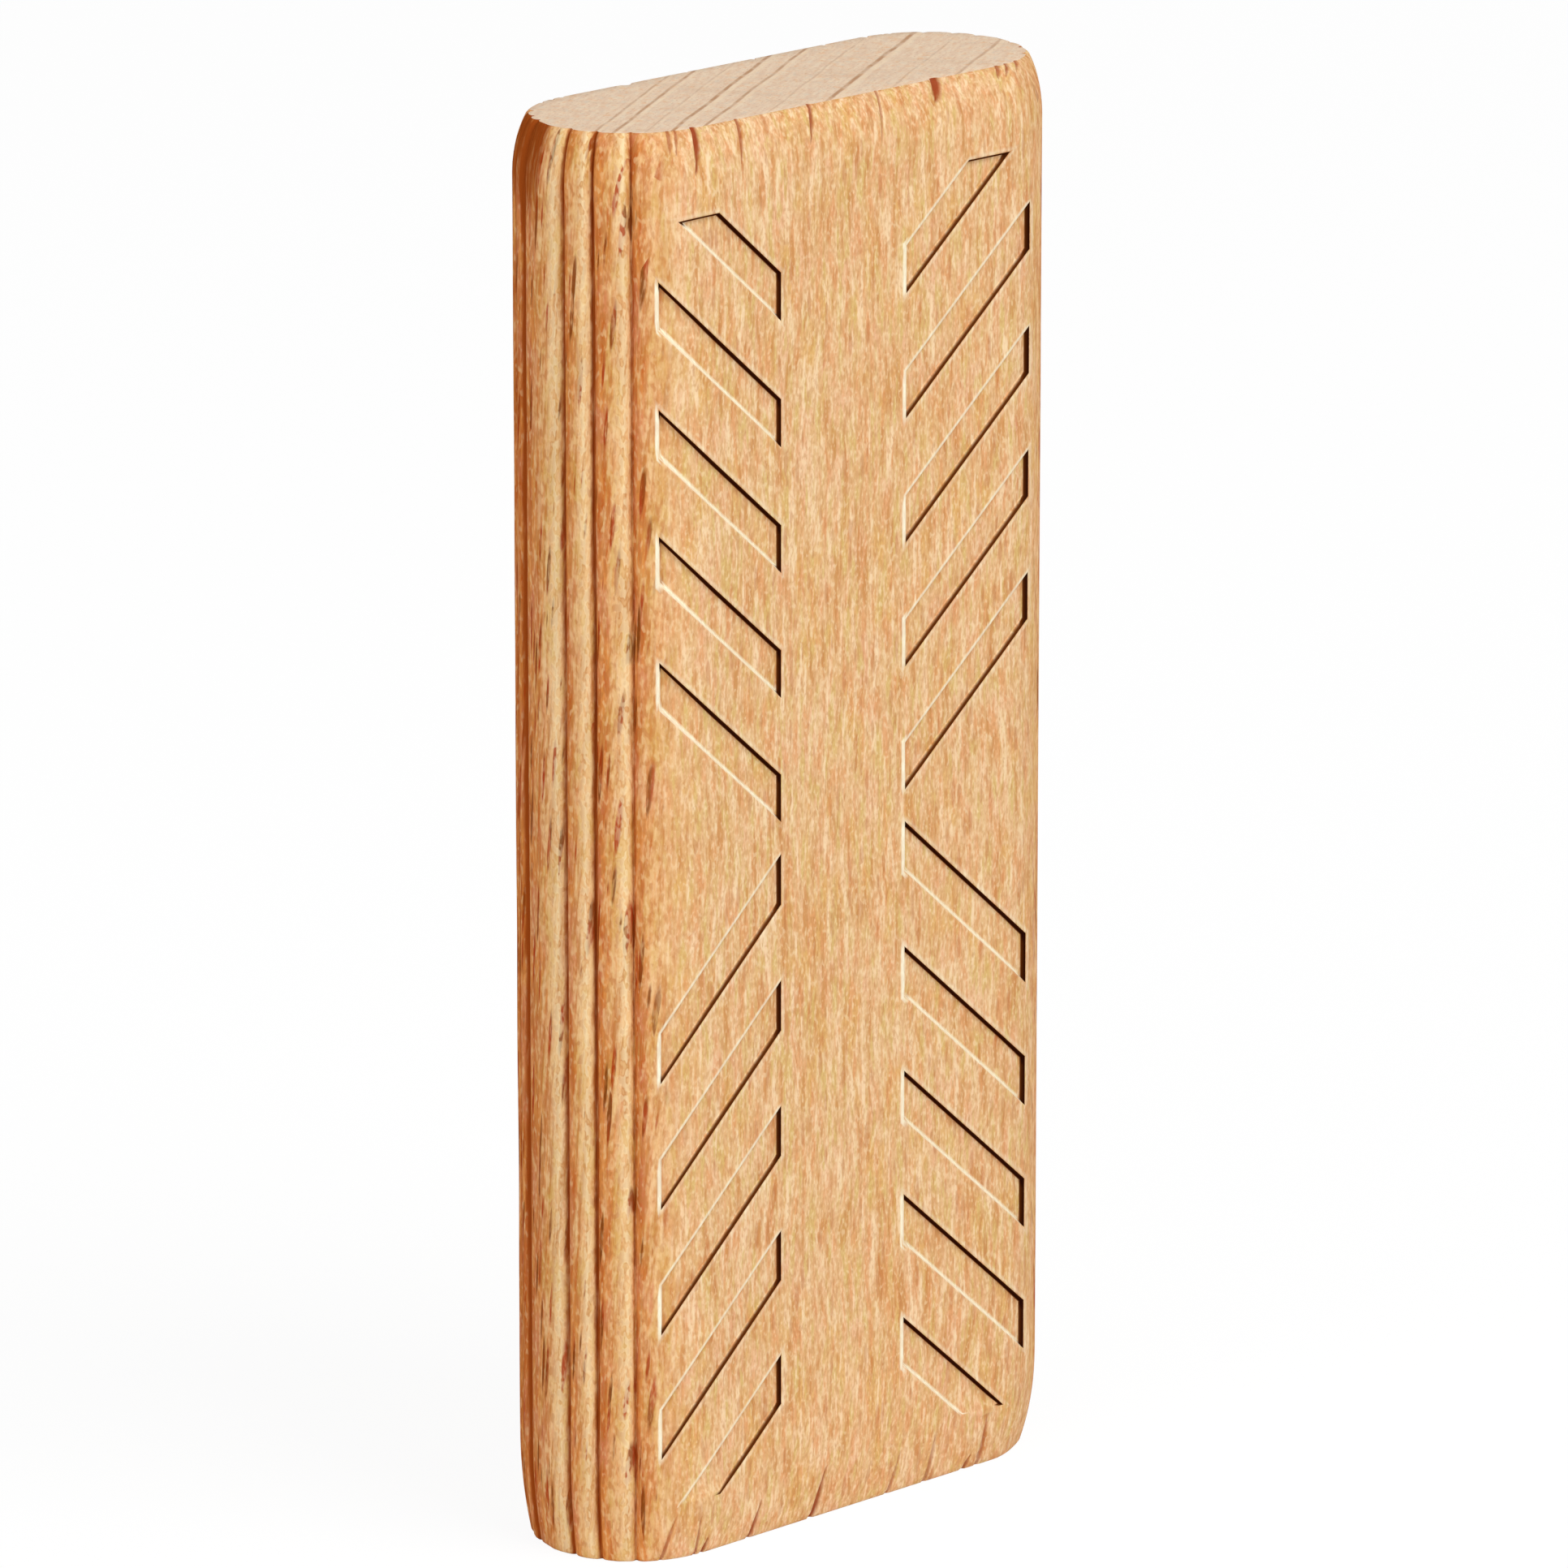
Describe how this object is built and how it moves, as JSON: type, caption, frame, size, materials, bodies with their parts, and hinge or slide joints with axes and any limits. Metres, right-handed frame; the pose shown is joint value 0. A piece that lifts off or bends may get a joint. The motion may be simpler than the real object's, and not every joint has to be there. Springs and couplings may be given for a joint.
{
  "type": "loose tenon",
  "caption": "Loose tenon of pressed beech for joining boards: half-round fluted edges, slanted glue pockets pressed into both broad faces, and rounded lead-in ends.",
  "frame": {"origin": "centre of the lower end face", "axes": "+Z along the tenon's length, +X across its width, +Y through its thickness; one broad face looks along -Y"},
  "size_m": [0.022, 0.008, 0.05],
  "materials": {
    "beech": "raw pressed beech, matt, fine vertical grain"
  },
  "bodies": {
    "root": {"tenon": "beech"}
  },
  "joints": []
}
